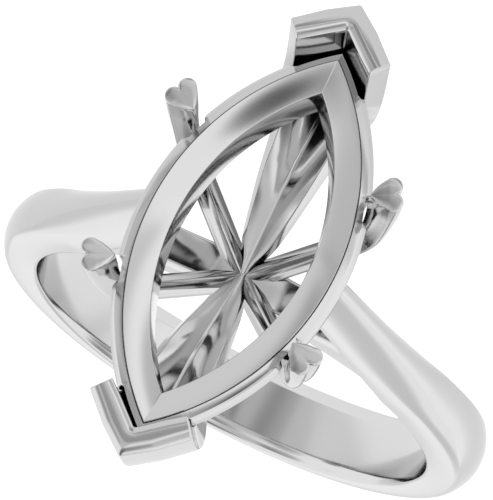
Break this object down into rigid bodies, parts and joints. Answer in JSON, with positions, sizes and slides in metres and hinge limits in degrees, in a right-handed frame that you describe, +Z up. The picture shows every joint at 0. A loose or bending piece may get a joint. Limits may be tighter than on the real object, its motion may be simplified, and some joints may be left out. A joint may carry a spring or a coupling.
{
  "type": "marquise engagement ring mounting",
  "caption": "Unset ring mounting lying on its side: domed tapering shank, cathedral shoulders, pointed seat ring, V prongs at its tips and heart-topped prongs at its sides.",
  "frame": {"origin": "middle of the footprint box, on the surface that the ring lies on, at the height of its lowest points", "axes": "+Z up from that surface, +Y from the head towards the foot of the shank, X across the ring; the finger hole's axis leans 17.4 degrees from +Z, its upper end towards +Y"},
  "size_m": [0.021, 0.0284, 0.018],
  "materials": {
    "white_gold": "high polish, rhodium-plated white gold"
  },
  "bodies": {
    "root": {"ring_mounting": "white_gold"}
  },
  "joints": []
}
